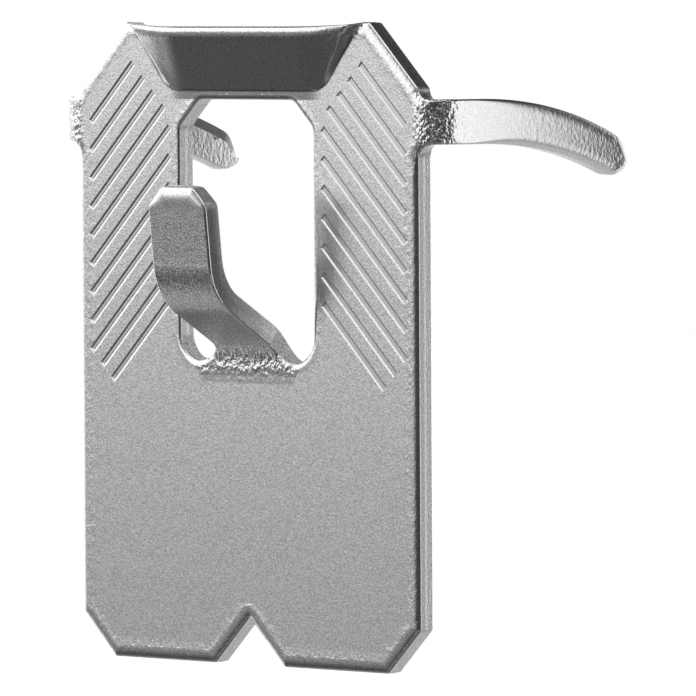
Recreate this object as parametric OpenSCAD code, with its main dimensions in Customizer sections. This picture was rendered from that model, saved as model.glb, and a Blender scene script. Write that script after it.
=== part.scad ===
// Picture hook for plasterboard: one piece of stamped and folded sheet steel.
// The rear face of the plate lies on the wall, in the plane y = 0. The viewer is
// at -Y, the claws go into the wall at +Y, and z = 0 is half way up the plate.

/* [Plate] */
// Width of the plate between its straight sides
plate_w = 32.3; // [31:0.1:40]
// Height of the plate
plate_h = 44.5; // [40:0.5:60]
// Thickness of the sheet steel
sheet_t = 1.5; // [1:0.1:2]
// Size of the cut corners at the head, across and down
head_corner = 4.5; // [3:0.1:5]
// Size of the cut corners at the foot, across and up
foot_corner = 3.05; // [1:0.05:5]
// Width of the right-angled notch where it opens in the foot edge
notch_w = 6.6; // [3:0.1:10]
// Radius at the closed end of the notch
notch_round = 0.4; // [0.2:0.1:1]

/* [Window] */
// Width of the window behind the hook
window_w = 12.8; // [11:0.1:15]
// Distance from the head edge down to the window
window_drop = 5.35; // [5:0.05:7]
// Height of the window, down to the feet of its two slots
window_h = 18.1; // [15:0.1:20]
// Size of the cut corners at the top of the window
window_corner = 1.9; // [1:0.1:3]
// Radius that blends the cut corners of the window
window_round = 1; // [0.4:0.1:1.2]

/* [Hook] */
// Width of the hook's strip, between the two slots
hook_w = 5.5; // [4:0.1:7]
// Inside radius of the bend where the arm leaves the plate
root_bend = 1.5; // [1:0.1:2]
// Rise of the arm above the horizontal, in degrees
arm_rise = 31; // [20:0.5:40]
// Distance from the front of the plate to the front of the hook's end
hook_reach = 7.05; // [6:0.05:9]
// Inside radius of the bend between the arm and the upright
elbow_bend = 2.3; // [1:0.1:3]
// Lean of the upright away from the plate, in degrees
upright_lean = 6.5; // [0:0.5:12]
// Height of the hook's end above the feet of the slots
hook_h = 12.3; // [10.5:0.1:14]
// Size of the cut corners at the hook's end
end_corner = 1.3; // [0.5:0.1:2]
// Radius that blends the cut corners of the hook's end
end_round = 0.9; // [0.4:0.1:1]

/* [Claws] */
// Height of a claw where it leaves the plate
claw_h = 3.08; // [2.5:0.02:3.5]
// Inside radius of the bend that turns a claw to the wall
claw_bend = 1; // [0.6:0.1:1.5]
// Reach of a claw beyond the wall face, to its point
claw_reach = 16.9; // [16:0.05:20]
// Outward flare of a claw, in degrees
claw_flare = 2.5; // [0:0.1:5]
// Level stretch of a claw beyond the wall face, before it curves down
claw_level = 2.5; // [2:0.1:4]
// Radius of a claw's upper edge
claw_top_radius = 33; // [32:0.5:40]
// Radius of a claw's lower edge
claw_foot_radius = 34; // [33:0.5:40]
// Radius of the fillet above the root of a claw
root_fillet_top = 0.75; // [0.4:0.05:1]
// Radius of the fillet below the root of a claw
root_fillet_foot = 1; // [0.4:0.05:1.5]
// Drop of the point below the top of the claw's root
point_drop = 4.95; // [4.8:0.05:5.1]
// Lean of the cut above the point, from upright, in degrees
point_top_lean = 24; // [20:0.5:28]
// Rise of the cut below the point, from level, in degrees
point_foot_rise = 19; // [17:0.5:22]
// Radius of the point
point_round = 0.35; // [0.2:0.05:0.5]
// Radius of the shoulder above the point and of the chin below it
shoulder_round = 0.6; // [0.3:0.05:0.8]

/* [Thumb ledge] */
// Distance that the ledge is pushed forward at the head edge
ledge_push = 1.45; // [0.5:0.05:2]
// Strip of flat plate left between the ledge and the window
ledge_margin = 0.6; // [0.4:0.05:1]
// Width of the ledge's straight middle
ledge_flat_w = 13.5; // [10:0.1:14]
// Width over the ledge's side walls at their foot
ledge_foot_w = 14.9; // [14.4:0.1:17]
// Width over the ledge's side walls at the head edge
ledge_head_w = 22; // [18:0.1:22.2]
// Amount that the pushed middle draws the head edge down
ledge_sink = 0.28; // [0:0.02:0.5]
// Turn of the ledge's section, in degrees: near 90 ends it upright
ledge_turn = 75; // [30:1:88]

/* [Grooves] */
// Width of one groove
groove_w = 0.5; // [0.3:0.05:0.8]
// Depth of one groove
groove_depth = 0.2; // [0.1:0.05:0.4]
// Distance between two grooves, measured up the plate
groove_pitch = 2; // [1.2:0.1:3]
// Grooves in one flank
groove_count = 11; // [5:1:12]
// Of these, the grooves that reach out to the flank's outer line
groove_full_count = 9; // [4:1:10]
// Distance from the head edge down to the outer end of the first groove
groove_drop = 7.05; // [6:0.05:9]
// Length of the first groove, measured across the plate
groove_first_run = 4.2; // [2:0.1:5]
// Plain margin between the grooves and the side of the plate
groove_outer_margin = 1.12; // [0.8:0.02:3]
// Plain margin between the grooves and the window
groove_inner_margin = 0.9; // [0.6:0.1:2]

/* [Hidden] */
$fn = 96;
steel = "silver";
// Overrun of every cut
overrun = 0.3;
ledge_rows = 8;
wall_columns = 4;
bend_steps = 12;

head_z = plate_h / 2;
foot_z = -plate_h / 2;
window_top_z = head_z - window_drop;
slot_foot_z = window_top_z - window_h;
slot_r = (window_w - hook_w) / 4;
root_half_w = hook_w / 2 + slot_r;
ledge_foot_z = window_top_z + ledge_margin;
ledge_h = head_z - ledge_foot_z;
claw_top_z = head_z - head_corner - root_fillet_top;
claw_foot_z = claw_top_z - claw_h;
claw_outer_bend = claw_bend + sheet_t;

// Outlines

// A closed convex outline whose corners are all rounded to radius r
module rounded_outline(points, r) {
    n = len(points);
    corners = [for (i = [0 : n - 1])
        let (p = points[i],
             back = unit(points[(i + n - 1) % n] - p),
             ahead = unit(points[(i + 1) % n] - p),
             half = acos(back * ahead) / 2)
        [p + back * r / tan(half), p + ahead * r / tan(half), p + unit(back + ahead) * r / sin(half)]];
    polygon([for (c = corners) each [c[0], c[1]]]);
    for (c = corners) translate(c[2]) circle(r);
}

function unit(v) = v / norm(v);

// Points along an arc, which starts and ends at the given angles
function arc(centre, r, from, to) =
    [for (i = [0 : bend_steps])
        let (angle = from + (to - from) * i / bend_steps)
        centre + r * [cos(angle), sin(angle)]];

// Points along the arc that rounds a corner of an outline
function rounded_corner(before, corner, after, r) =
    let (back = unit(before - corner),
         ahead = unit(after - corner),
         half = acos(back * ahead) / 2,
         centre = corner + unit(back + ahead) * r / sin(half),
         from = corner + back * r / tan(half) - centre,
         to = corner + ahead * r / tan(half) - centre,
         start = atan2(from[1], from[0]),
         turn = atan2(cross(from, to), from * to))
    arc(centre, r, start, start + turn);

// An oblong with one size of cut corner at its foot and another at its head
module cut_corner_plate(w, low, high, low_cut, high_cut)
    polygon([[-w / 2 + low_cut, low], [w / 2 - low_cut, low], [w / 2, low + low_cut],
             [w / 2, high - high_cut], [w / 2 - high_cut, high], [-w / 2 + high_cut, high],
             [-w / 2, high - high_cut], [-w / 2, low + low_cut]]);

module notch_outline() {
    // The flanks would meet at a sharp point this far above the foot edge
    sharp_z = foot_z + notch_w / 2;
    half_open = notch_w / 2 + overrun;
    polygon(concat(arc([0, sharp_z - notch_round / sin(45)], notch_round, 135, 45),
                   [[half_open, foot_z - overrun], [-half_open, foot_z - overrun]]));
}

// The window with its two round-footed slots, and the hook's strip cut away
module window_outline() {
    slot_x = hook_w / 2 + slot_r;
    rounded_outline([[-window_w / 2, slot_foot_z + slot_r], [window_w / 2, slot_foot_z + slot_r],
                     [window_w / 2, window_top_z - window_corner],
                     [window_w / 2 - window_corner, window_top_z],
                     [-window_w / 2 + window_corner, window_top_z],
                     [-window_w / 2, window_top_z - window_corner]], window_round);
    translate([-window_w / 2, slot_foot_z + slot_r])
        square([window_w, 2 * window_round]);
    for (side = [-1, 1])
        translate([side * slot_x, slot_foot_z + slot_r]) circle(slot_r);
    translate([-slot_x, slot_foot_z]) square([2 * slot_x, slot_r]);
}

// Front view of the hook's strip: slot rounds flare its root, its end has cut corners
module strip_outline() {
    end_z = slot_foot_z + hook_h;
    difference() {
        translate([-root_half_w, slot_foot_z - overrun])
            square([2 * root_half_w, slot_r + overrun]);
        for (side = [-1, 1])
            translate([side * root_half_w, slot_foot_z + slot_r]) circle(slot_r);
    }
    translate([-hook_w / 2, slot_foot_z]) square([hook_w, hook_h / 2]);
    rounded_outline([[-hook_w / 2, slot_foot_z + slot_r], [hook_w / 2, slot_foot_z + slot_r],
                     [hook_w / 2, end_z - end_corner], [hook_w / 2 - end_corner, end_z],
                     [-hook_w / 2 + end_corner, end_z], [-hook_w / 2, end_z - end_corner]], end_round);
}

// Thumb ledge: a face of the plate pushed forward between two slanted side walls

// Half width over the side walls at height share v of the ledge
function wall_foot(v) = (ledge_foot_w + (ledge_head_w - ledge_foot_w) * min(v, 1)) / 2;
// Share of the push, up the ledge's section or up a side wall: steep first, then easing off
function rise_share(v) = sin(ledge_turn * v) / sin(ledge_turn);
// Place across the plate, from the foot of a side wall at u = 0 to the middle at u = 1
function wall_x(u, v) = wall_foot(v) + (ledge_flat_w / 2 - wall_foot(v)) * u;

// A block between the pushed face, which starts from the plane y = face, and the plane y = base
module ledge_block(face, base) {
    columns = [for (c = [0 : wall_columns]) [c, -1], for (c = [wall_columns : -1 : 0]) [c, 1]];
    across = len(columns);
    // One row more stands past the head edge
    rises = [for (r = [0 : ledge_rows]) r / ledge_rows, 1 + overrun / ledge_h];
    up = len(rises);
    layer = across * up;
    function at(row, column) = row * across + column;
    points = [for (pushed = [true, false], v = rises, c = columns)
        let (u = c[0] / wall_columns,
             y = pushed ? face - ledge_push * rise_share(v) * rise_share(u) : base)
        [c[1] * wall_x(u, v), y, ledge_foot_z + v * ledge_h]];
    front = [for (r = [0 : up - 2], c = [0 : across - 2]) each
        [[at(r, c), at(r + 1, c), at(r + 1, c + 1)], [at(r, c), at(r + 1, c + 1), at(r, c + 1)]]];
    back = [for (f = front) [f[2] + layer, f[1] + layer, f[0] + layer]];
    rim = [for (c = [0 : across - 1]) at(0, c),
           for (r = [1 : up - 1]) at(r, across - 1),
           for (c = [across - 2 : -1 : 0]) at(up - 1, c),
           for (r = [up - 2 : -1 : 1]) at(r, 0)];
    sides = [for (i = [0 : len(rim) - 1])
        let (here = rim[i],
             next = rim[(i + 1) % len(rim)])
        [here, next, next + layer, here + layer]];
    polyhedron(points, concat(front, back, sides));
}

// Front view of what is cut from above the drawn-down head edge
module head_cut() {
    line = [for (c = [0 : wall_columns])
        let (u = c / wall_columns)
        [wall_x(u, 1), head_z - ledge_sink * rise_share(u)]];
    far = [wall_foot(1) + overrun, head_z + 2 * overrun];
    polygon([[-far[0], far[1]], for (p = line) [-p[0], p[1]],
             for (i = [wall_columns : -1 : 0]) line[i], far]);
}

// Plate

// Stands a front view up, from the front of the sheet back to the wall face
module stand(depth = sheet_t, lead = 0)
    translate([0, depth - sheet_t, 0]) rotate([90, 0, 0]) linear_extrude(depth + lead) children();

module grooves() {
    outer_x = plate_w / 2 - groove_outer_margin;
    inner_x = window_w / 2 + groove_inner_margin;
    for (side = [0, 1], n = [0 : groove_count - 1]) {
        shift = groove_pitch / 2;
        x_out = outer_x - max(0, n + 1 - groove_full_count) * shift;
        x_in = max(inner_x, outer_x - groove_first_run - n * shift);
        run = x_out - x_in;
        z_out = head_z - groove_drop - n * groove_pitch + (outer_x - x_out);
        mirror([side, 0, 0])
            translate([x_out - run / 2, groove_depth / 2 - sheet_t - overrun / 2, z_out + run / 2])
                rotate([0, 45, 0]) cube([run / cos(45), groove_depth + overrun, groove_w], center = true);
    }
}

module plate() {
    difference() {
        union() {
            stand() difference() {
                cut_corner_plate(plate_w, foot_z, head_z, foot_corner, head_corner);
                notch_outline();
                window_outline();
            }
            ledge_block(-sheet_t, -sheet_t / 2);
        }
        ledge_block(0, overrun);
        translate([0, overrun, 0]) stand(depth = sheet_t, lead = 2 * ledge_push) head_cut();
        grooves();
    }
}

// Hook

// Side view of the hook: first number forward from the wall face, second above the slot feet
module hook_section() {
    half_t = sheet_t / 2;
    turn = 90 - arm_rise;
    along_arm = [cos(arm_rise), sin(arm_rise)];
    up = [sin(upright_lean), cos(upright_lean)];
    forward = [up[1], -up[0]];
    root_centre = [sheet_t + root_bend, 0];
    arm_start = root_centre + (root_bend + half_t) * [-cos(turn), sin(turn)];
    // The middle of the sheet at the hook's end, where its front stands at hook_reach
    end = [sheet_t + hook_reach - half_t / cos(upright_lean), hook_h];
    past_end = end + up * (hook_h / cos(upright_lean));
    // Middle lines of the arm and the upright cross at the elbow, which the bend cuts short
    upright_h = cross(end - arm_start, along_arm) / cross(up, along_arm);
    elbow = end - up * upright_h;
    arm_end = elbow - along_arm * (elbow_bend + half_t) * tan((turn - upright_lean) / 2);
    elbow_centre = arm_end + (elbow_bend + half_t) * [-along_arm[1], along_arm[0]];
    polygon(concat(
        [[sheet_t, -overrun]],
        arc(root_centre, root_bend, 180, 180 - turn),
        arc(elbow_centre, elbow_bend + sheet_t, -turn, -upright_lean),
        [past_end + forward * half_t, past_end - forward * half_t],
        arc(elbow_centre, elbow_bend, -upright_lean, -turn),
        arc(root_centre, root_bend + sheet_t, 180 - turn, 180),
        [[0, -overrun]]));
}

module hook() {
    intersection() {
        translate([0, 0, slot_foot_z]) rotate([90, 0, -90])
            linear_extrude(2 * (root_half_w + overrun), center = true) hook_section();
        stand(lead = 2 * hook_reach) strip_outline();
    }
}

// Claws

// Plan of a claw: first number out from the plate's side, second into the wall
module claw_plan() {
    along = (claw_reach + claw_bend) * [sin(claw_flare), cos(claw_flare)];
    inner = arc([0, claw_bend], claw_bend, -90, -claw_flare);
    outer = arc([0, claw_bend], claw_outer_bend, -claw_flare, -90);
    polygon(concat([[-overrun, 0]], inner, [inner[bend_steps] + along, outer[0] + along], outer,
                   [[-overrun, -sheet_t]]));
}

// Side view of a claw: first number into the wall, second above its root's top
module claw_side() {
    top = [claw_level, -claw_top_radius];
    foot = [claw_level, -claw_h - claw_foot_radius];
    point = [claw_reach, -point_drop];
    top_cut = [-sin(point_top_lean), cos(point_top_lean)];
    foot_cut = -[cos(point_foot_rise), sin(point_foot_rise)];
    shoulder = point + top_cut * way_to_circle(point, top_cut, top, claw_top_radius, 1);
    chin = point + foot_cut * way_to_circle(point, foot_cut, foot, claw_foot_radius, -1);
    top_edge = arc(top, claw_top_radius, 90, angle_at(top, shoulder));
    foot_edge = arc(foot, claw_foot_radius, angle_at(foot, chin), 90);
    polygon(concat(
        [[-sheet_t - overrun, 0]],
        [for (i = [0 : bend_steps - 1]) top_edge[i]],
        rounded_corner(top_edge[bend_steps - 1], shoulder, point, shoulder_round),
        rounded_corner(shoulder, point, chin, point_round),
        rounded_corner(point, chin, foot_edge[1], shoulder_round),
        [for (i = [1 : bend_steps]) foot_edge[i]],
        [[-sheet_t - overrun, -claw_h]]));
}

// Way from a point along a unit direction to a circle: side 1 to where it leaves, -1 to where it enters
function way_to_circle(point, direction, centre, r, side) =
    let (reach = (centre - point) * direction,
         off = cross(centre - point, direction))
    reach + side * sqrt(r * r - off * off);

function angle_at(centre, point) = atan2(point[1] - centre[1], point[0] - centre[0]);

// Front view of the two fillets at a claw's root
module claw_fillets() {
    difference() {
        translate([0, claw_top_z - overrun]) square([root_fillet_top, root_fillet_top + overrun]);
        translate([root_fillet_top, claw_top_z + root_fillet_top]) circle(root_fillet_top);
    }
    difference() {
        translate([0, claw_foot_z - root_fillet_foot])
            square([root_fillet_foot, root_fillet_foot + overrun]);
        translate([root_fillet_foot, claw_foot_z - root_fillet_foot]) circle(root_fillet_foot);
    }
}

module claw() {
    reach_z = claw_top_z - claw_top_radius;
    translate([plate_w / 2, 0, 0]) intersection() {
        translate([0, 0, reach_z]) linear_extrude(claw_top_radius + root_fillet_top) claw_plan();
        union() {
            translate([-overrun, 0, claw_top_z]) rotate([90, 0, 90])
                linear_extrude(claw_outer_bend + claw_reach) claw_side();
            stand(depth = sheet_t + claw_bend) claw_fillets();
        }
    }
}

module hanger() {
    color(steel) {
        plate();
        hook();
        claw();
        mirror([1, 0, 0]) claw();
    }
}

hanger();
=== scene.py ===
import math

import bpy
import numpy as np
from mathutils import Matrix, Vector
from mathutils.geometry import delaunay_2d_cdt


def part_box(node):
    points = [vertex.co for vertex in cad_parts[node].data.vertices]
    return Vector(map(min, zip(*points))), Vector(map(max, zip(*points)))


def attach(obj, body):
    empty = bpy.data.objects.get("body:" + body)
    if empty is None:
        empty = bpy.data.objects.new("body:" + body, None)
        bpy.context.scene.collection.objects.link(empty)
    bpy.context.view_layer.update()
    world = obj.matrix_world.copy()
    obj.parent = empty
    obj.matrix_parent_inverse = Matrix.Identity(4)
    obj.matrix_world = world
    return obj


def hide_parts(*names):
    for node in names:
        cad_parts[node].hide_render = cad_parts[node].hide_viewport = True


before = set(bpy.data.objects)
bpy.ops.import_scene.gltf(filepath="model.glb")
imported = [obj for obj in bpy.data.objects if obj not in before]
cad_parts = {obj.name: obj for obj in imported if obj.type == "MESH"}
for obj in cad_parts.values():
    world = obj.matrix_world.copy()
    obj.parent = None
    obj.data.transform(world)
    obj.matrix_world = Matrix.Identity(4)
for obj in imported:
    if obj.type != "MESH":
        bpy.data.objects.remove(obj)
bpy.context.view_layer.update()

# Sizes in millimetres, as in the part's source. The plate's height comes from the frame.
MM = 0.001
frame_low, frame_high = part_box("hanger")
plate_h = (frame_high.z - frame_low.z) / MM
plate_w = 32.3
sheet_t = 1.5
head_corner = 4.5
foot_corner = 3.05
notch_w = 6.6
window_w = 12.8
window_drop = 5.35
window_h = 18.1
window_corner = 1.9
hook_w = 5.5
root_bend = 1.5
arm_rise = 31
hook_reach = 7.05
upright_lean = 6.5
hook_h = 12.3
end_corner = 1.3
claw_h = 3.08
claw_bend = 1
claw_reach = 16.9
claw_flare = 2.5
claw_level = 2.5
claw_top_radius = 33
claw_foot_radius = 34
point_drop = 4.95
point_top_lean = 24
point_foot_rise = 19
ledge_push = 1.45
ledge_margin = 0.6
ledge_flat_w = 13.5
ledge_foot_w = 14.9
ledge_head_w = 22
ledge_sink = 0.28
groove_pitch = 2
groove_count = 11
groove_full_count = 9
groove_drop = 7.05
groove_first_run = 4.2
groove_inner_margin = 0.9

# Radii of the corners, seen from the front
window_round = 1
end_round = 0.9
outer_round = 0.3
root_fillet_top = 0.75
root_fillet_foot = 1

# Sizes that follow the real pressing more closely than the solid's do
elbow_bend = 3
notch_round = 0.12
point_round = 0.7
shoulder_round = 1.5
ledge_turn = 88
groove_w = 0.55
groove_depth = 0.12
groove_outer_margin = 1.1

# Section of a stamped edge (across, deep): rolled over at the front, broken off at the rear
edge_roll = (0.85, 0.24)
window_roll = (0.35, 0.12)
hook_roll = (0.16, 0.16)
head_roll = (0.85, 0.4)
tip_roll = (1.15, 0.3)
slot_roll = (0.7, 0.3)
claw_top_roll = (0.85, 0.32)
claw_foot_roll = (0.85, 0.5)
rear_break = 0.1
claw_rear_break = (0.8, 0.45)
fracture_start = 0.55
fracture_lean = 0.05
hook_fracture_lean = 0.08
roll_steps = 7

# Where an edge changes its section: start and end of each run, from the place that it belongs to
edge_margin = 0.1
hook_side_run = (0, 1)
hook_tip_run = (-1.6, -0.3)
hook_lean_run = (-7, -5)
slot_foot_run = (-0.8, 0.6)
claw_side_run = (-0.2, 1.2)
claw_top_run = (3, 9)
claw_foot_run = (3, 8)
claw_break_run = (4, 8)

# Sloped walls of the grooves, as seen from the front, and the painted shade on their upper walls
groove_end_wall_w = 0.09
groove_lower_wall_w = {"right": 0.09, "left": 0.3}
groove_upper_wall_w = {"right": 0.17, "left": 0.09}
groove_shade = {"right": 0.8, "left": 0.45}

# Small shapes that the solid leaves plain
claw_bow = 10
strip_push = 0.07
strip_half_w = 5.5
ledge_wall_w = 0.6
ledge_wall_share = 0.45
ledge_foot_round = 0.9

# Peel of the strained steel, as a share of the strongest, and where it lies
hook_root_peel = 0.7
hook_elbow_peel = 0.245
hook_root_run = (-1, 0.3)
hook_root_reach = (-1.5, 1)
hook_root_soft = 0.8
elbow_soft = 1
claw_root_reach = (-1.5, 1)
claw_root_soft = 1.5
claw_bend_end = -0.4
claw_bend_soft = 0.7
blade_start = 1
blade_peel = 0.11
blade_run = (2.5, 7)
claw_tip_peel = 0.12
claw_tip_start = 8
claw_tip_end = 19
edge_peel = 0.09
ledge_peel = 0.03
ledge_peel_rise = 4

# Share of the tumbled finish on each part, and the painted shade on a broken corner
plate_tumble = 0.3
claw_tumble = 0.1
hook_end_run = (-2.2, -0.8)
claw_break_shade = 0.6
claw_break_start = 2

# Sizes of the mesh
grid_step = 0.55
bend_grid_step = 0.34
ledge_grid_step = 0.24
groove_step = 1
dense_margin = 1
crease_crowding = 1.5
edge_step = 0.4
arc_step = 10
edge_gap = 0.75
crease_gap = 0.6
groove_gap = 0.8
groove_edge_points = 60
corner_attempts = 60
least_step = 0.002
same_place = 1e-6
to_middle = 0.03
sharp_turn = 38

# Places worked out from the sizes
head_z = plate_h / 2
foot_z = -plate_h / 2
window_top_z = head_z - window_drop
slot_foot_z = window_top_z - window_h
slot_r = (window_w - hook_w) / 4
slot_x = hook_w / 2 + slot_r
ledge_foot_z = window_top_z + ledge_margin
ledge_h = head_z - ledge_foot_z
claw_top_z = head_z - head_corner - root_fillet_top
half_t = sheet_t / 2


# Camera: a long lens, from the right and a little above

view_yaw = 43.28
view_pitch = 2.36
view_roll = -0.32
view_distance = 626.13
view_target = Vector((9.647, -1.5, -0.044))
lens_mm = 473.2
near_clip = 0.01


def place_camera():
    """The view that was fitted to the photograph."""
    yaw, pitch, roll = (math.radians(a) for a in (view_yaw, view_pitch, view_roll))
    away = Vector((math.sin(yaw) * math.cos(pitch), -math.cos(yaw) * math.cos(pitch), math.sin(pitch)))
    level_right = Vector((math.cos(yaw), math.sin(yaw), 0))
    level_up = away.cross(level_right)
    right = level_right * math.cos(roll) + level_up * math.sin(roll)
    up = level_up * math.cos(roll) - level_right * math.sin(roll)
    camera = bpy.data.objects.new("camera", bpy.data.cameras.new("camera"))
    camera.data.lens = lens_mm
    camera.data.clip_start = near_clip
    camera.matrix_world = Matrix((right, up, away)).transposed().to_4x4()
    camera.location = (view_target + away * view_distance) * MM
    bpy.context.scene.collection.objects.link(camera)
    bpy.context.scene.camera = camera


# Folds: the flat blank is carried along a path of straight runs and bends

def hook_path():
    """Runs of the hook's middle line as (length, turn in degrees), from the feet of the slots."""
    turn = 90 - arm_rise
    rise, lean = math.radians(arm_rise), math.radians(upright_lean)
    along_arm = np.array([math.cos(rise), math.sin(rise)])
    up = np.array([math.sin(lean), math.cos(lean)])
    root_r, elbow_r = root_bend + half_t, elbow_bend + half_t
    root_centre = np.array([sheet_t + root_bend, 0])
    arm_start = root_centre + root_r * np.array([-math.sin(rise), math.cos(rise)])
    end = np.array([sheet_t + hook_reach - half_t / math.cos(lean), hook_h])
    arm_h, upright_h = np.linalg.solve(np.column_stack([along_arm, up]), end - arm_start)
    shortened = elbow_r * math.tan(math.radians(turn - upright_lean) / 2)
    return [(root_r * math.radians(turn), -turn), (arm_h - shortened, 0),
            (elbow_r * math.radians(turn - upright_lean), turn - upright_lean), (upright_h - shortened, 0)]


def claw_path():
    """Runs of a claw's middle line as (length, turn in degrees), from the side of the plate."""
    turn = 90 - claw_flare - claw_bow / 2
    return [((claw_bend + half_t) * math.radians(turn), turn), (claw_reach, claw_bow)]


hook_end_z = slot_foot_z + sum(length for length, turn in hook_path())
claw_bend_length = claw_path()[0][0]


def follow(path, start, heading, s, w):
    """Places of points a way s along the path and a depth w behind the front of the sheet."""
    x = np.full_like(s, start[0])
    y = np.full_like(s, start[1])
    angle = np.full_like(s, math.radians(heading))
    done = 0
    for i, (length, turn) in enumerate(path):
        last = i == len(path) - 1
        here = np.maximum(s - done, 0) if last else np.clip(s - done, 0, length)
        if turn:
            radius = length / math.radians(turn)
            after = angle + here / radius
            x += radius * (np.sin(after) - np.sin(angle))
            y += radius * (np.cos(angle) - np.cos(after))
            angle = after
        else:
            x += here * np.cos(angle)
            y += here * np.sin(angle)
        done += length
    ahead = half_t - w
    return x + ahead * np.sin(angle), y - ahead * np.cos(angle)


def ledge_rise(share):
    """Share of the push up a side wall: steep first, then easing off."""
    turn = math.radians(ledge_turn)
    return np.sin(turn * np.clip(share, 0, 1)) / math.sin(turn)


def ledge_share(u, v):
    """Share of the ledge's push at a place on the plate."""
    up = np.clip((v - ledge_foot_z) / ledge_h, 0, 1)
    edge = ledge_half_w(v)
    beyond = edge - np.abs(u)
    gentle = ledge_rise(beyond / (edge - ledge_flat_w / 2 + ledge_foot_round))
    steep = ledge_rise(beyond / ledge_wall_w)
    return up * (ledge_wall_share * steep + (1 - ledge_wall_share) * gentle)


def ledge_half_w(v):
    """Half width of the ledge at a height, with the corners at its foot rounded."""
    up = np.clip(v - ledge_foot_z, 0, ledge_h)
    short = 1 - np.clip(up / ledge_foot_round, 0, 1)
    rounding = ledge_foot_round * (1 - np.sqrt(1 - short ** 2))
    return (ledge_foot_w + (ledge_head_w - ledge_foot_w) * up / ledge_h) / 2 - rounding


def ramp_up(value, low, high):
    """Smooth rise from 0 to 1 between two values."""
    share = np.clip((value - low) / (high - low), 0, 1)
    return share * share * (3 - 2 * share)


def ramp_from(value, place, run):
    """Smooth rise from 0 to 1 over a run that is given from a place."""
    return ramp_up(value, place + run[0], place + run[1])


def strip_share(u, v):
    """Share of the forward tilt of the strip between the window and the ledge."""
    up = np.clip((v - window_top_z) / ledge_margin, 0, 1)
    return up * (1 - ramp_up(np.abs(u), strip_half_w, ledge_foot_w / 2))


def fold(blank, part):
    """Turns places in the flat blank (across, up, depth) into places on the finished hanger."""
    u, v, w = blank.T
    share = ledge_share(u, v)
    push = ledge_push * share + strip_push * strip_share(u, v)
    x, y, z = u.copy(), w - sheet_t - push, v - ledge_sink * share
    in_hook = part == "hook"
    forward, up = follow(hook_path(), (half_t, 0), 90, v[in_hook] - slot_foot_z, w[in_hook])
    y[in_hook], z[in_hook] = -forward, slot_foot_z + up
    in_claw = part == "claw"
    side = np.sign(u[in_claw])
    out, inward = follow(claw_path(), (0, -half_t), 0, np.abs(u[in_claw]) - plate_w / 2, w[in_claw])
    x[in_claw], y[in_claw], z[in_claw] = side * (plate_w / 2 + out), inward, v[in_claw]
    return np.column_stack([x, y, z])


def fold_normals(blank, normals, part):
    """Turns directions square to the flat blank into directions square to the finished hanger."""
    small = 1e-4
    slopes = []
    for axis in range(3):
        step = np.zeros(3)
        step[axis] = small
        slopes.append((fold(blank + step, part) - fold(blank - step, part)) / (2 * small))
    a, b, c = slopes
    turned = (normals[:, :1] * np.cross(b, c) + normals[:, 1:2] * np.cross(c, a)
              + normals[:, 2:] * np.cross(a, b))
    determinant = np.einsum("ij,ij->i", a, np.cross(b, c))
    turned *= np.sign(determinant)[:, None]
    return turned / np.linalg.norm(turned, axis=1)[:, None]


# Outlines of the flat blank, each with the steel on its left

def unit(v):
    """The direction of a vector."""
    return v / np.linalg.norm(v)


def arc(centre, radius, start, end, count=None):
    """Points (x, y, no radius) along an arc between two angles in degrees."""
    count = count or max(2, math.ceil(abs(end - start) / arc_step) + 1)
    return [(centre[0] + radius * math.cos(a), centre[1] + radius * math.sin(a), 0)
            for a in np.radians(np.linspace(start, end, count))]


def rounded(corners):
    """Points along a closed outline of corners (x, y, radius), with its straight runs divided."""
    points = []
    for i, (x, y, r) in enumerate(corners):
        here = np.array([x, y])
        if not r:
            points.append(here)
            continue
        back = unit(np.array(corners[i - 1][:2]) - here)
        ahead = unit(np.array(corners[(i + 1) % len(corners)][:2]) - here)
        half = math.acos(np.dot(back, ahead)) / 2
        centre = here + unit(back + ahead) * r / math.sin(half)
        start, end = (here + d * r / math.tan(half) - centre for d in (back, ahead))
        a = math.atan2(start[1], start[0])
        turn = math.atan2(start[0] * end[1] - start[1] * end[0], np.dot(start, end))
        points += [np.array(p[:2]) for p in arc(centre, r, math.degrees(a), math.degrees(a + turn))]
    outline = []
    for here, there in zip(points, points[1:] + points[:1]):
        gap = np.linalg.norm(there - here)
        if gap > same_place:
            count = math.ceil(gap / edge_step)
            outline += [here + (there - here) * k / count for k in range(count)]
    return np.array(outline)


def mirrored(right_half):
    """A closed path from its right half, which starts and ends on the middle line."""
    return right_half + [(-x, y, r) for x, y, r in right_half[-2:0:-1]]


def circle_crossing(point, direction, centre, radius, side):
    """Where a line from the point meets a circle: side 1 where it leaves, -1 where it enters."""
    to_centre = centre - point
    reach = np.dot(to_centre, direction)
    off = to_centre[0] * direction[1] - to_centre[1] * direction[0]
    return point + direction * (reach + side * math.sqrt(radius ** 2 - off ** 2))


def angle_at(centre, point):
    """Direction in degrees of a point from a centre."""
    return math.degrees(math.atan2(point[1] - centre[1], point[0] - centre[0]))


def claw_edge(centre, radius, start, end):
    """Long arc of a claw, in runs as short as those of the straight edges."""
    count = math.ceil(radius * abs(math.radians(end - start)) / edge_step)
    return arc(centre, radius, start, end, count)


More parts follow.
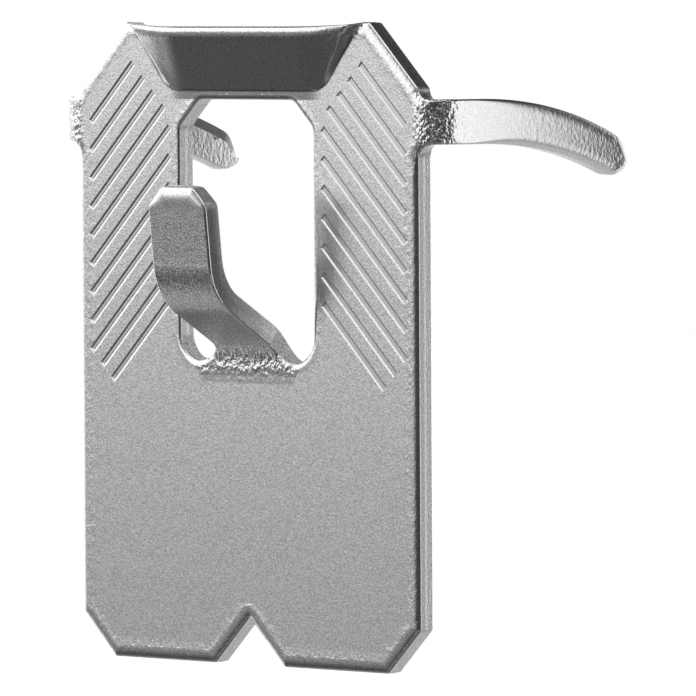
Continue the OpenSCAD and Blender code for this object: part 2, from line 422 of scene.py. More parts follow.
def claw_outline():
    """Lower edge, point and upper edge of the right claw, laid flat beside the plate."""
    lean, rise = math.radians(point_top_lean), math.radians(point_foot_rise)
    top = np.array([claw_level, -claw_top_radius])
    foot = np.array([claw_level, -claw_h - claw_foot_radius])
    point = np.array([claw_reach, -point_drop])
    top_cut = np.array([-math.sin(lean), math.cos(lean)])
    foot_cut = -np.array([math.cos(rise), math.sin(rise)])
    shoulder = circle_crossing(point, top_cut, top, claw_top_radius, 1)
    chin = circle_crossing(point, foot_cut, foot, claw_foot_radius, -1)
    lower = claw_edge(foot, claw_foot_radius, 90, angle_at(foot, chin))
    upper = claw_edge(top, claw_top_radius, angle_at(top, shoulder), 90)
    end = [(*chin, shoulder_round), (*point, point_round), (*shoulder, shoulder_round)]
    # The points next to the rounded corners make room for their arcs
    side_view = lower[:-2] + end + upper[3:]
    flare = math.radians(claw_flare)
    bend_end = claw_bend - (claw_bend + half_t) * math.sin(flare + math.radians(claw_bow / 2))
    return [(plate_w / 2 + claw_bend_length + (y - bend_end) / math.cos(flare), claw_top_z + z, r)
            for y, z, r in side_view]


def outer_outline():
    """Edge of the plate and its claws, from the notch round to the notch."""
    side = plate_w / 2
    half = [(0, foot_z + notch_w / 2, notch_round), (notch_w / 2, foot_z, outer_round),
            (side - foot_corner, foot_z, outer_round), (side, foot_z + foot_corner, outer_round),
            (side, claw_top_z - claw_h, root_fillet_foot)]
    half += claw_outline()
    half += [(side, claw_top_z, root_fillet_top), (side, head_z - head_corner, 0),
             (side - head_corner, head_z, outer_round), (0, head_z, 0)]
    return rounded(mirrored(half))


def window_and_hook_outline():
    """Edge of the window, its slots and the hook's strip before it is folded."""
    half = [(0, window_top_z, 0), (window_w / 2 - window_corner, window_top_z, window_round),
            (window_w / 2, window_top_z - window_corner, window_round)]
    half += arc((slot_x, slot_foot_z + slot_r), slot_r, 0, -180)
    half += [(hook_w / 2, hook_end_z - end_corner, end_round),
             (hook_w / 2 - end_corner, hook_end_z, end_round), (0, hook_end_z, 0)]
    return rounded(mirrored(half))


def groove_outlines(floor=False):
    """Corners of every groove's rim, or of its floor, which its walls make smaller."""
    outer_x = plate_w / 2 - groove_outer_margin
    inner_x = window_w / 2 + groove_inner_margin
    shift = groove_pitch / 2
    along, across = np.array([-1, 1]) / math.sqrt(2), np.array([1, 1]) / math.sqrt(2)
    outlines = []
    for n in range(groove_count):
        out = outer_x - max(0, n + 1 - groove_full_count) * shift
        inner = max(inner_x, outer_x - groove_first_run - n * shift)
        out_z = head_z - groove_drop - n * groove_pitch + outer_x - out
        start, end = np.array([out, out_z]), np.array([inner, out_z + out - inner])
        if floor:
            start, end = start + along * groove_end_wall_w, end - along * groove_end_wall_w
        for side, name in ((1, "right"), (-1, "left")):
            below = across * (floor * groove_lower_wall_w[name] - groove_w / 2)
            above = across * (groove_w / 2 - floor * groove_upper_wall_w[name])
            corners = np.array([start + above, end + above, end + below, start + below]) * (side, 1)
            outlines.append(corners[::-1] if side == 1 else corners)
    return outlines


def groove_upper_edges():
    """Points along the upper edge of every groove."""
    points = []
    for rim in groove_outlines():
        start, end = (rim[3], rim[2]) if rim[0][0] > 0 else (rim[0], rim[1])
        points += [start + (end - start) * share for share in np.linspace(0, 1, groove_edge_points)]
    return np.array(points)


# Mesh of the blank

def ledge_creases(loops):
    """Runs of points along the sides and foot of the ledge, clear of the sheet's edges."""
    turns = np.linspace(0, 1, math.ceil(ledge_h / ledge_grid_step) * 2) ** crease_crowding
    heights = ledge_foot_z + ledge_h * turns
    right = np.column_stack([ledge_half_w(heights), heights])
    count = math.ceil(2 * right[0][0] / ledge_grid_step)
    foot = [(x, ledge_foot_z) for x in np.linspace(-right[0][0], right[0][0], count)[1:-1]]
    run = np.array([(-x, z) for x, z in right[::-1]] + foot + [(x, z) for x, z in right])
    clear = inside(run, loops) & (distance_to(run, np.concatenate(loops)) > ledge_grid_step / 2)
    return run[clear]


def inset(loop, distance):
    """The closed loop moved into the steel on its left, and the directions out of the steel."""
    ahead = np.roll(loop, -1, axis=0) - loop
    ahead /= np.linalg.norm(ahead, axis=1)[:, None]
    left = np.column_stack([-ahead[:, 1], ahead[:, 0]])
    before = np.roll(left, 1, axis=0)
    mitre = (left + before) / (1 + np.einsum("ij,ij->i", left, before))[:, None]
    out = -(left + before)
    moved = loop + mitre * np.broadcast_to(distance, len(loop))[:, None]
    for attempt in range(corner_attempts):
        uncross(moved, ahead)
    return moved, out / np.linalg.norm(out, axis=1)[:, None]


def uncross(moved, ahead):
    """Draws together the points that passed each other where a corner is rounder than its inset."""
    step = np.roll(moved, -1, axis=0) - moved
    for here in np.flatnonzero(np.einsum("ij,ij->i", step, ahead) < 0):
        there = (here + 1) % len(moved)
        middle = (moved[here] + moved[there]) / 2
        moved[here] = middle - ahead[here] * least_step
        moved[there] = middle + ahead[here] * least_step


def inside(points, loops):
    """True for each point that lies in the steel, by counting the edges above it."""
    x, y = points.T
    count = np.zeros(len(points), int)
    for loop in loops:
        x0, y0 = loop.T
        x1, y1 = np.roll(loop, -1, axis=0).T
        for a, b, c, d in zip(x0, y0, x1, y1):
            if a != c:
                spans = (x >= min(a, c)) & (x < max(a, c))
                count += spans & (y < b + (d - b) * (x - a) / (c - a))
    return count % 2 == 1


def grid(low, high, step):
    """Points of a triangular grid over an oblong."""
    rows = np.arange(low[1], high[1], step * math.sqrt(3) / 2)
    return np.array([(x, y) for k, y in enumerate(rows)
                     for x in np.arange(low[0] + (k % 2) * step / 2, high[0], step)])


def distance_to(points, others):
    """Distance from each point to the nearest of the others."""
    return np.array([np.sqrt(((others - p) ** 2).sum(1).min()) for p in points])


def divided(corners, step):
    """A closed outline of straight sides, divided into short runs."""
    points = []
    for here, there in zip(corners, np.roll(corners, -1, axis=0)):
        count = max(1, round(np.linalg.norm(there - here) / step))
        points += [here + (there - here) * k / count for k in range(count)]
    return np.array(points)


def grid_points(loops, rims, creases):
    """Points that fill the blank, denser where it is bent, clear of the edges and grooves."""
    side = plate_w / 2
    far = side + claw_bend_length + claw_reach
    ledge_side = ledge_head_w / 2 + dense_margin
    bent = [((-far, foot_z), (dense_margin - side, head_z), bend_grid_step),
            ((side - dense_margin, foot_z), (far, head_z), bend_grid_step),
            ((-hook_w, slot_foot_z - dense_margin), (hook_w, window_top_z), bend_grid_step),
            ((-ledge_side, window_top_z), (ledge_side, head_z), ledge_grid_step)]
    coarse = grid((-side, foot_z), (side, head_z), grid_step)
    for low, high, step in bent:
        coarse = coarse[~((coarse > low).all(1) & (coarse < high).all(1))]
    points = np.concatenate([coarse] + [grid(low, high, step) for low, high, step in bent])
    points = points[inside(points, loops) & ~inside(points, rims)]
    points = points[distance_to(points, np.concatenate(loops)) > ledge_grid_step * edge_gap]
    points = points[distance_to(points, creases) > ledge_grid_step * crease_gap]
    near_groove = np.concatenate([divided(rim, bend_grid_step) for rim in rims])
    return points[distance_to(points, near_groove) > bend_grid_step * groove_gap]


def edge_sizes(loop):
    """How far each point's edge is rolled over (across, deep), broken off at the rear, and leaning."""
    u, v = np.abs(loop[:, 0]), loop[:, 1]
    side = plate_w / 2
    in_window = (u < window_w / 2 + edge_margin) & (v > slot_foot_z - slot_r)
    in_window &= v < window_top_z + edge_margin
    on_hook = in_window & (u < hook_w / 2 + edge_margin)
    on_hook &= (v > slot_foot_z) & (v < hook_end_z + edge_margin)
    on_head = (v > head_z - edge_margin) * (1 - ramp_up(u, ledge_flat_w / 2, ledge_head_w / 2))
    on_claw = ramp_from(u, side, claw_side_run) * (v < head_z - head_corner)
    above = v > claw_centre_z(u)
    zones = [(window_roll, in_window),
             (head_roll, on_head),
             (hook_roll, on_hook * ramp_from(v, slot_foot_z, hook_side_run)),
             (tip_roll, on_hook * ramp_from(v, hook_end_z, hook_tip_run)),
             (slot_roll, in_window * (1 - ramp_from(v, slot_foot_z, slot_foot_run))),
             (hook_roll, on_claw),
             (claw_top_roll, above * ramp_from(u, side, claw_top_run)),
             (claw_foot_roll, ~above * ramp_from(u, side, claw_foot_run))]
    across, deep = (np.full(len(loop), size) for size in edge_roll)
    for (wide, high), share in zones:
        across += (wide - across) * share
        deep += (high - deep) * share
    on_claw_top = above * ramp_from(u, side, claw_break_run)
    broken = [rear_break + (size - rear_break) * on_claw_top for size in claw_rear_break]
    lean = hook_fracture_lean * on_hook * ramp_from(v, hook_end_z, hook_lean_run)
    return across, deep, broken, lean


def claw_centre_z(u):
    """Height of a claw's middle line, laid flat, at a distance from the middle of the plate."""
    share = np.clip((np.abs(u) - plate_w / 2) / (claw_bend_length + claw_reach), 0, 1)
    return claw_top_z - claw_h / 2 - (point_drop - claw_h / 2) * share ** 2


def edge_section(loop):
    """Rings of an edge, front to rear, as (inset, depth, share of the normal out, share to the rear)."""
    across, deep, broken, lean = edge_sizes(loop)
    rings = []
    for a in np.radians(np.linspace(0, 90, roll_steps + 1)):
        out, front = math.sin(a) / across, math.cos(a) / deep
        length = np.hypot(out, front)
        rings.append((across * (1 - math.sin(a)), deep * (1 - math.cos(a)), out / length, -front / length))
    start = sheet_t * fracture_start
    tilt = lean / (sheet_t - start)
    level = np.zeros(len(loop))
    rings[-1] = (0, deep, level + 1, level)
    rings.append((0, level + start, level + 1, level))
    rings.append((lean + fracture_lean, sheet_t - broken[1], np.cos(tilt), np.sin(tilt)))
    rings.append((lean + fracture_lean + broken[0], level + sheet_t, 0, 1))
    return rings


def part_of(blank):
    """Name of the part of the hanger that each place of the blank is on."""
    u, v = blank[:, 0], blank[:, 1]
    part = np.full(len(blank), "plate", dtype="U5")
    part[(np.abs(u) < slot_x) & (v > slot_foot_z) & (v < window_top_z - window_corner / 2)] = "hook"
    part[np.abs(u) > plate_w / 2] = "claw"
    return part


def band(value, low, high, soft):
    """Share from 0 to 1 of lying between two values, with soft ends."""
    return np.clip(np.minimum(value - low, high - value) / soft + 0.5, 0, 1)


def claw_strain(u, v):
    """Strain at the bend of a claw, and a little along its blade."""
    beyond = np.abs(u) - plate_w / 2
    foot, top = claw_top_z - claw_h + claw_root_reach[0], claw_top_z + claw_root_reach[1]
    bend = band(beyond, 0, claw_bend_length + claw_bend_end, claw_bend_soft)
    blade = blade_peel * ramp_from(beyond, claw_bend_length, blade_run)
    blade += claw_tip_peel * ramp_up(beyond, claw_bend_length + claw_tip_start, claw_tip_end)
    bend *= band(v, foot, top, claw_root_soft)
    return np.where(beyond > claw_bend_length + blade_start, blade, bend)


def hook_strain(v):
    """Strain along the hook: at its root, and less at its elbow."""
    past_root, elbow_start, elbow_end, _ = np.cumsum([length for length, turn in hook_path()])
    up = v - slot_foot_z
    root = band(up, hook_root_run[0], past_root + hook_root_run[1], hook_root_soft)
    elbow = band(up, elbow_start, elbow_end, elbow_soft)
    return np.maximum(hook_root_peel * root, hook_elbow_peel * elbow)


def strain_of(blank, part):
    """Share from 0 to 1 of how hard the steel was bent at each place."""
    u, v, _ = blank.T
    low, high = hook_root_reach
    up = v - slot_foot_z
    strain = np.where(part == "hook", hook_strain(v), claw_strain(u, v))
    below_root = (np.abs(u) < slot_x) & (up > low) & (up < high) & (part != "hook")
    strain = np.where(below_root, hook_root_peel * band(up, -hook_root_soft, high, hook_root_soft), strain)
    return np.maximum(strain, ledge_peel * np.clip(ledge_share(u, v) * ledge_peel_rise, 0, 1))


def lay_out_sheet(front_loops):
    """Points, triangles and depths of the sheet's front, and which points edges and creases hold."""
    rims, floors = groove_outlines(), groove_outlines(floor=True)
    creases = ledge_creases(front_loops)
    rings = front_loops + [divided(outline, groove_step) for outline in rims + floors]
    ring_depths = [0] * (len(front_loops) + len(rims)) + [groove_depth] * len(floors)
    points, edges, depths = [], [], []
    for ring, depth in zip(rings, ring_depths):
        first = len(points)
        points += [Vector(p) for p in ring]
        edges += [(first + i, first + (i + 1) % len(ring)) for i in range(len(ring))]
        depths += [depth] * len(ring)
    first = len(points)
    edges += [(first + i, first + i + 1) for i in range(len(creases) - 1)]
    points += [Vector(p) for p in [*creases, *grid_points(front_loops, rims, creases)]]
    depths += [0] * (len(points) - first)
    made, _, triangles, origins, _, _ = delaunay_2d_cdt(points, edges, [], 0, same_place)
    flat = np.array([tuple(p) for p in made])
    triangles = np.array([t[:] for t in triangles])
    triangles = triangles[inside(flat[triangles].mean(1), front_loops)]
    depth = np.array([depths[origin[0]] if origin else 0 for origin in origins], float)
    place = {source: i for i, origin in enumerate(origins) for source in origin}
    on_crease = [place[first + i] for i in range(len(creases))]
    on_edge, start = [], 0
    for loop in front_loops:
        on_edge.append([place[start + i] for i in range(len(loop))])
        start += len(loop)
    return flat, triangles, depth, on_edge, on_crease


def edge_strips(loops, sections, on_edge, count):
    """Rings of places and normals around the cut edges, and quads, each with its strip's number."""
    places, normals, quads = [], [], []
    total = 2 * count
    for loop, section, front_ids in zip(loops, sections, on_edge):
        size = len(loop)
        ring_ids = [front_ids]
        for distance, depth, out_share, rear_share in section[1:-1]:
            moved, out = inset(loop, distance)
            places.append(np.column_stack([moved, depth]))
            normals.append(np.column_stack([out * out_share[:, None], rear_share]))
            ring_ids.append(list(range(total, total + size)))
            total += size
        ring_ids.append([i + count for i in front_ids])
        for strip, (a, b) in enumerate(zip(ring_ids, ring_ids[1:])):
            for i in range(size):
                j = (i + 1) % size
                quads.append((a[i], b[i], b[j], a[j], strip))
    return places, normals, quads


def tumble_of(blank, part, depth):
    """Share from 0 to 1 of the tumbled finish: most on the hook's face, none in the grooves."""
    v, w = blank[:, 1], blank[:, 2]
    on_hook = part == "hook"
    tumbled = np.full(len(blank), plate_tumble)
    tumbled[on_hook] = 1 - (1 - plate_tumble) * ramp_from(v[on_hook], hook_end_z, hook_end_run)
    tumbled[on_hook & (w > same_place)] = plate_tumble
    tumbled[part == "claw"] = claw_tumble
    tumbled[:len(depth)][depth > 0] = 0
    return tumbled


def shade_of(blank, flat, triangles, groove_wall, quads):
    """Share from 0 to 1 of painted shade on each face: upper groove walls and broken tops of the claws."""
    centres = flat[triangles].mean(1)
    upper_wall = groove_wall & (distance_to(centres, groove_upper_edges()) < groove_w / 3)
    # Painted shade on the upper walls of the grooves
    walls = upper_wall * np.where(centres[:, 0] > 0, groove_shade["right"], groove_shade["left"])
    last_strip = quads[-1][4]
    # Painted shade on the broken tops of the claws
    tops = []
    for _, b, _, _, strip in quads:
        u, v, _ = blank[b]
        broken = strip == last_strip and abs(u) > plate_w / 2 + claw_break_start and v > claw_centre_z(u)
        tops.append(claw_break_shade * broken)
    return np.concatenate([walls, np.zeros(len(triangles)), tops])


def marks_of(blank, flat, depth, front_loops, on_crease):
    """What the materials need to know of each place, as shares from 0 to 1."""
    part = part_of(blank)
    count = len(flat)
    u, v, w = blank.T
    crease_shade = np.zeros(len(blank))
    # Painted shade: the base colour is darkened along the ledge's creases
    crease_shade[on_crease] = 1
    in_slot = (np.abs(u) < window_w / 2 + edge_margin) & (v < slot_foot_z + slot_r)
    in_slot &= v > slot_foot_z - slot_r - edge_margin
    rolled = np.zeros(len(blank))
    rolled[2 * count:] = w[2 * count:] < sheet_t * fracture_start
    rolled[:count][distance_to(flat, np.concatenate(front_loops)) < same_place] = 1
    strain = np.maximum(strain_of(blank, part), edge_peel * rolled * (part == "plate"))
    return {"crease_shade": crease_shade, "in_slot": in_slot, "tumbled": tumble_of(blank, part, depth),
            "strain": strain, "depth": w / sheet_t}


def hanger_mesh():
    """The flat blank's places and normals, its faces, and what is marked on faces and places."""
    loops = [outer_outline(), window_and_hook_outline()]
    sections = [edge_section(loop) for loop in loops]
    front_loops = [inset(loop, section[0][0])[0] for loop, section in zip(loops, sections)]
    flat, triangles, depth, on_edge, on_crease = lay_out_sheet(front_loops)
    count = len(flat)
    rear = np.column_stack([flat, np.full(count, float(sheet_t))])
    for loop, section, ids in zip(loops, sections, on_edge):
        rear[ids, :2] = inset(loop, section[-1][0])[0]
    places, ring_normals, quads = edge_strips(loops, sections, on_edge, count)
    blank = np.concatenate([np.column_stack([flat, depth]), rear, *places])
    forward = np.tile([0.0, 0.0, -1.0], (count, 1))
    normals = np.concatenate([forward, -forward, *ring_normals])

    faces = [tuple(t) for t in triangles] + [tuple(t[::-1] + count) for t in triangles]
    faces += [quad[:4] for quad in quads]
    strips = np.array([-1] * 2 * len(triangles) + [quad[4] for quad in quads])
    groove_wall = np.ptp(depth[triangles], axis=1) > 0
    is_flat = strips == strips[-1]
    is_flat[:len(triangles)] = groove_wall
    shaded = shade_of(blank, flat, triangles, groove_wall, quads)
    marks = marks_of(blank, flat, depth, front_loops, on_crease)
    return blank, normals, faces, strips, is_flat, shaded, marks


def build_hanger():
    """The folded sheet as one object, with its marks as attributes."""
    blank, normals, faces, strips, is_flat, shaded, marks = hanger_mesh()
    places = fold(blank, part_of(blank))
    mesh = bpy.data.meshes.new("hanger_sheet")
    mesh.from_pydata([tuple(p * MM) for p in places], [], [tuple(int(i) for i in f) for f in faces])
    mesh.polygons.foreach_set("material_index", [int(strip >= roll_steps) for strip in strips])
    mesh.polygons.foreach_set("use_smooth", [True] * len(faces))
    for name, values in marks.items():
        attribute = mesh.attributes.new(name, "FLOAT", "POINT")
        attribute.data.foreach_set("value", np.clip(values, 0, 1).astype(np.float32))
    mesh.attributes.new("shaded", "FLOAT", "FACE").data.foreach_set("value", shaded.astype(np.float32))
    mesh.update()
    set_corner_normals(mesh, blank, normals, faces, is_flat)
    hanger = bpy.data.objects.new("hanger_sheet", mesh)
    bpy.context.scene.collection.objects.link(hanger)
    return hanger


def set_corner_normals(mesh, blank, normals, faces, is_flat):
    """Smooth normals from the true surface just inside each face, but flat ones at sharp turns."""
    corners = np.concatenate([np.array(f, int) for f in faces])
    sizes = [len(f) for f in faces]
    centres = np.repeat([blank[list(f)].mean(0) for f in faces], sizes, axis=0)
    near = blank[corners] + (centres - blank[corners]) * to_middle
    smooth = fold_normals(near, normals[corners], part_of(near))
    flat = np.repeat([tuple(face.normal) for face in mesh.polygons], sizes, axis=0)
    turned_away = np.einsum("ij,ij->i", smooth, flat) < math.cos(math.radians(sharp_turn))
    turned_away |= np.repeat(is_flat, sizes)
    smooth[turned_away] = flat[turned_away]
    mesh.normals_split_custom_set([tuple(n) for n in smooth])


# Materials

face_grey = 0.74
face_roughness = 0.2
tumbled_roughness = 0.26
tumbled_grain = 0.36
tumbled_contrast = 1.9
plain_contrast = 0.6
# Share by which painted shade in the creases and on the groove walls darkens the face's grey
painted_shade_strength = 0.75
cut_grey = 0.66
cut_roughness = 0.28
# The lighter grey of the cut edges in the slots is painted light; their high roughness is their dull
# finish
slot_painted_light_grey = 0.85
slot_roughness = 0.95
broken_from_to = (0.4, 0.6)
smooth_half = 0.1
peel_stretch = (1, 1, 0.75)
bump_height = 0.00005


def new_material(name):
    """A material with nodes, and its node tree."""
    material = bpy.data.materials.new(name)
    material.use_nodes = True
    return material, material.node_tree


def set_or_link(tree, socket, value):
    """Gives a socket a plain number, or links it to another socket."""
    if isinstance(value, (int, float)):
        socket.default_value = value
    else:
        tree.links.new(value, socket)


def calc(tree, operation, *values):
    """A Math node on sockets or plain numbers."""
    node = tree.nodes.new("ShaderNodeMath")
    node.operation = operation
    for socket, value in zip(node.inputs, values):
        set_or_link(tree, socket, value)
    return node.outputs[0]


def fade(tree, value, low, high, start=0, end=1):
    """A smooth change from start to end as the value goes from low to high."""
    node = tree.nodes.new("ShaderNodeMapRange")
    node.interpolation_type = "SMOOTHSTEP"
    given = {"Value": value, "From Min": low, "From Max": high, "To Min": start, "To Max": end}
    for name, number in given.items():
        set_or_link(tree, node.inputs[name], number)
    return node.outputs[0]


def new_group(name, inputs, output):
    """An empty node group with float inputs and their defaults, and one float output."""
    group = bpy.data.node_groups.new(name, "ShaderNodeTree")
    for label, default in inputs.items():
        socket = group.interface.new_socket(label, in_out="INPUT", socket_type="NodeSocketFloat")
        socket.default_value = default
    group.interface.new_socket(output, in_out="OUTPUT", socket_type="NodeSocketFloat")
    return group, group.nodes.new("NodeGroupInput").outputs, group.nodes.new("NodeGroupOutput").inputs


def place_group(tree, group, values):
    """A node group placed in a tree with its own values."""
    node = tree.nodes.new("ShaderNodeGroup")
    node.node_tree = group
    for name, value in values.items():
        set_or_link(tree, node.inputs[name], value)
    return node.outputs[0]


def noise(tree, scale, detail, stretch=(1, 1, 1)):
    """Noise in the object's own space, with its features longer along an axis by a small factor."""
    place = tree.nodes.new("ShaderNodeTexCoord")
    mapping = tree.nodes.new("ShaderNodeMapping")
    mapping.inputs["Scale"].default_value = stretch
    tree.links.new(place.outputs["Object"], mapping.inputs["Vector"])
    texture = tree.nodes.new("ShaderNodeTexNoise")
    texture.inputs["Detail"].default_value = detail
    tree.links.new(mapping.outputs[0], texture.inputs["Vector"])
    set_or_link(tree, texture.inputs["Scale"], scale)
    return texture.outputs["Fac"]


def mark(tree, name):
    """One of the marks that the mesh carries."""
    node = tree.nodes.new("ShaderNodeAttribute")
    node.attribute_name = name
    return node.outputs["Fac"]


def grain_group():
    """Height of the tumbled grain, and of the orange peel where the steel was strained."""
    group, given, result = new_group(
        "grain", {"Grain": 1, "Grain Scale": 11000, "Peel": 1, "Peel Scale": 4200, "Strain": 0}, "Height")
    fine = calc(group, "MULTIPLY", noise(group, given["Grain Scale"], 2), given["Grain"])
    peel = calc(group, "MULTIPLY", noise(group, given["Peel Scale"], 1, peel_stretch), given["Peel"])
    strained = calc(group, "MULTIPLY", peel, given["Strain"])
    group.links.new(calc(group, "ADD", fine, strained), result["Height"])
    return group


def metal(material_name, roughness):
    """A bare metal material."""
    material, tree = new_material(material_name)
    shader = tree.nodes["Principled BSDF"]
    shader.inputs["Metallic"].default_value = 1
    shader.inputs["Roughness"].default_value = roughness
    return material, tree, shader


def flecks_group():
    """Darker and lighter flecks of the tumbled finish, as a factor on a grey."""
    group, given, result = new_group("flecks", {"Scale": 8000, "Contrast": 0.5, "Grey": 0.7}, "Grey")
    fine = calc(group, "SUBTRACT", noise(group, given["Scale"], 1), 0.5)
    change = calc(group, "MULTIPLY_ADD", fine, given["Contrast"], 1)
    group.links.new(calc(group, "MULTIPLY", change, given["Grey"]), result["Grey"])
    return group


def add_bump(tree, shader, height):
    """Relief from a height that varies over the surface."""
    bump = tree.nodes.new("ShaderNodeBump")
    bump.inputs["Distance"].default_value = bump_height
    tree.links.new(height, bump.inputs["Height"])
    tree.links.new(bump.outputs["Normal"], shader.inputs["Normal"])


def steel_face(grain, flecks):
    """Front and rear of the sheet: satin, tumbled, with painted shade in the ledge's creases and on the
    upper walls of the grooves.
    """
    material, tree, shader = metal("steel_face", face_roughness)
    # Painted shade: the grey is darkened along the ledge's creases and on the upper groove walls
    painted_shade = calc(tree, "MAXIMUM", calc(tree, "POWER", mark(tree, "crease_shade"), 3), mark(tree, "shaded"))
    unshaded = calc(tree, "MULTIPLY_ADD", painted_shade, -painted_shade_strength, 1)
    tumbled = mark(tree, "tumbled")
    contrast = calc(tree, "MULTIPLY_ADD", tumbled, tumbled_contrast, plain_contrast)
    grey = calc(tree, "MULTIPLY", unshaded, face_grey)
    spotted = place_group(tree, flecks, {"Scale": 11000, "Contrast": contrast, "Grey": grey})
    tree.links.new(spotted, shader.inputs["Base Color"])
    roughness = fade(tree, tumbled, plate_tumble, 1, face_roughness, tumbled_roughness)
    tree.links.new(roughness, shader.inputs["Roughness"])
    fine = calc(tree, "MULTIPLY", tumbled, tumbled_grain)
    height = place_group(tree, grain, {
        "Strain": mark(tree, "strain"), "Grain": fine, "Peel": 3.2, "Peel Scale": 3700})
    add_bump(tree, shader, height)
    return material


def steel_cut_edge(grain, flecks):
    """Cut edges: smooth at the front, broken and rough at the rear, dull in the slots, where their lighter
    grey is painted light, with painted shade on the claws' broken tops.
    """
    material, tree, shader = metal("steel_cut_edge", cut_roughness)
    in_slot = mark(tree, "in_slot")
    # Painted shade: the grey is darkened on the claws' broken tops
    unshaded = calc(tree, "MULTIPLY_ADD", mark(tree, "shaded"), -1, 1)
    # The lighter grey in the slots is painted light
    grey = calc(tree, "MULTIPLY", unshaded, fade(tree, in_slot, 0, 1, cut_grey, slot_painted_light_grey))
    spotted = place_group(tree, flecks, {"Scale": 7000, "Contrast": 1.2, "Grey": grey})
    tree.links.new(spotted, shader.inputs["Base Color"])
    tree.links.new(fade(tree, in_slot, 0, 1, cut_roughness, slot_roughness), shader.inputs["Roughness"])
    broken = fade(tree, mark(tree, "depth"), *broken_from_to, smooth_half, 1)
    height = place_group(tree, grain, {"Strain": broken, "Grain": 0.15, "Peel": 0.5, "Peel Scale": 8000})
    add_bump(tree, shader, height)
    return material


# Studio: white walls low down, a dark ceiling, and soft lights drawn as cards on the world

def card_group():
    """Paints one card with soft edges over the light that comes from a direction."""
    names = ("Light", "Azimuth", "Elevation", "Middle Azimuth", "Half Width", "Middle Elevation",
             "Half Height", "Soft Edge", "Grey")
    group, given, result = new_group("studio_card", dict.fromkeys(names, 0), "Light")
    sideways = calc(group, "SUBTRACT", given["Azimuth"], given["Middle Azimuth"])
    turned = calc(group, "WRAP", sideways, 180, -180)
    raised = calc(group, "SUBTRACT", given["Elevation"], given["Middle Elevation"])
    masks = []
    for offset, half in ((turned, given["Half Width"]), (raised, given["Half Height"])):
        beyond = calc(group, "SUBTRACT", calc(group, "ABSOLUTE", offset), half)
        share = calc(group, "DIVIDE", beyond, given["Soft Edge"])
        masks.append(fade(group, share, -0.5, 0.5, 1, 0))
    mask = calc(group, "MULTIPLY", *masks)
    change = calc(group, "SUBTRACT", given["Grey"], given["Light"])
    group.links.new(calc(group, "MULTIPLY_ADD", change, mask, given["Light"]), result["Light"])
    return group


# Light from each direction, in degrees: round from the front toward the right, and up
room_grey = 0.5
studio_cards = {
    "dark ceiling": dict(middle=(0, 60), half=(200, 32), soft=14, grey=0.05),
    "floor": dict(middle=(0, -65), half=(200, 38), soft=24, grey=0.36),
    "white wall behind": dict(middle=(-140, -7), half=(72, 24), soft=16, grey=1.05),
    "floor at the back": dict(middle=(180, -60), half=(50, 28), soft=24, grey=0.6),
    "left light": dict(middle=(-70, 18), half=(50, 19), soft=10, grey=1.5),
    "left wall low down": dict(middle=(-46, -9.5), half=(30, 8.5), soft=8, grey=0.27),
    "floor at the left": dict(middle=(-42, -29), half=(27, 13), soft=14, grey=0.07),
    "overhead light": dict(middle=(10, 56), half=(70, 18), soft=12, grey=1.3),
    "dark floor at the front": dict(middle=(40, -56), half=(60, 18), soft=20, grey=0.08),
    "camera and its stand": dict(middle=(32, -5), half=(54, 19), soft=16, grey=0.05),
    "right light": dict(middle=(110, -2), half=(21, 26), soft=16, grey=1.3),
    "dark gap": dict(middle=(149, -2), half=(10, 30), soft=6, grey=0.06),
}


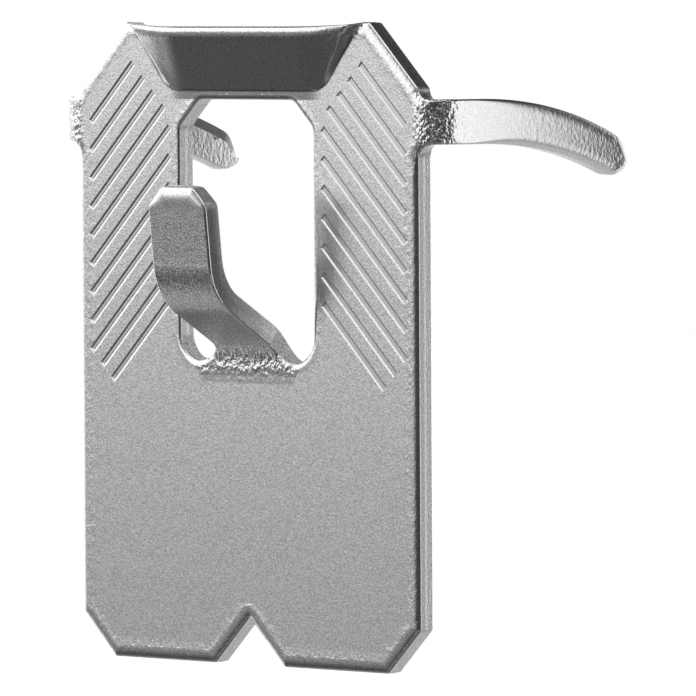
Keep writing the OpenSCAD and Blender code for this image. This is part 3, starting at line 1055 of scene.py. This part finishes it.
def light_studio():
    """The world: white for the camera, the studio's cards for the steel."""
    world = bpy.data.worlds.new("studio")
    bpy.context.scene.world = world
    world.use_nodes = True
    tree = world.node_tree
    place = tree.nodes.new("ShaderNodeTexCoord")
    split = tree.nodes.new("ShaderNodeSeparateXYZ")
    tree.links.new(place.outputs["Generated"], split.inputs[0])
    to_front = calc(tree, "MULTIPLY", split.outputs["Y"], -1)
    azimuth = calc(tree, "DEGREES", calc(tree, "ARCTAN2", split.outputs["X"], to_front))
    elevation = calc(tree, "DEGREES", calc(tree, "ARCSINE", split.outputs["Z"]))
    card = card_group()
    light = room_grey
    for sizes in studio_cards.values():
        light = place_group(tree, card, {
            "Light": light, "Azimuth": azimuth, "Elevation": elevation,
            "Middle Azimuth": sizes["middle"][0], "Half Width": sizes["half"][0],
            "Middle Elevation": sizes["middle"][1], "Half Height": sizes["half"][1],
            "Soft Edge": sizes["soft"], "Grey": sizes["grey"]})
    seen = tree.nodes.new("ShaderNodeLightPath")
    to_white = calc(tree, "SUBTRACT", 1, light)
    shown = calc(tree, "MULTIPLY_ADD", to_white, seen.outputs["Is Camera Ray"], light)
    tree.links.new(shown, tree.nodes["Background"].inputs["Color"])


floor_drop = 60
floor_size = 3
floor_glow = 0.62
floor_grey = 0.8


def lay_floor():
    """A white floor some way below the hanger."""
    mesh = bpy.data.meshes.new("floor")
    half, z = floor_size / 2, (foot_z - floor_drop) * MM
    corners = [(-half, -half, z), (half, -half, z), (half, half, z), (-half, half, z)]
    mesh.from_pydata(corners, [], [(0, 1, 2, 3)])
    floor = bpy.data.objects.new("floor", mesh)
    bpy.context.scene.collection.objects.link(floor)
    material, tree = new_material("white_floor")
    nodes, links = tree.nodes, tree.links
    nodes.remove(nodes["Principled BSDF"])
    matt = nodes.new("ShaderNodeBsdfDiffuse")
    matt.inputs["Color"].default_value = (floor_grey, floor_grey, floor_grey, 1)
    glow = nodes.new("ShaderNodeEmission")
    seen = nodes.new("ShaderNodeLightPath")
    both = nodes.new("ShaderNodeAddShader")
    to_eye = calc(tree, "MAXIMUM", seen.outputs["Is Camera Ray"], seen.outputs["Is Transmission Ray"])
    links.new(calc(tree, "MULTIPLY", to_eye, floor_glow), glow.inputs["Strength"])
    links.new(matt.outputs[0], both.inputs[0])
    links.new(glow.outputs[0], both.inputs[1])
    links.new(both.outputs[0], nodes["Material Output"].inputs["Surface"])
    mesh.materials.append(material)
    floor.visible_glossy = False


place_camera()
light_studio()
lay_floor()
hanger = build_hanger()
grain, flecks = grain_group(), flecks_group()
hanger.data.materials.append(steel_face(grain, flecks))
hanger.data.materials.append(steel_cut_edge(grain, flecks))
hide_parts("hanger")
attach(hanger, "root")
bpy.context.scene.view_settings.view_transform = "Standard"
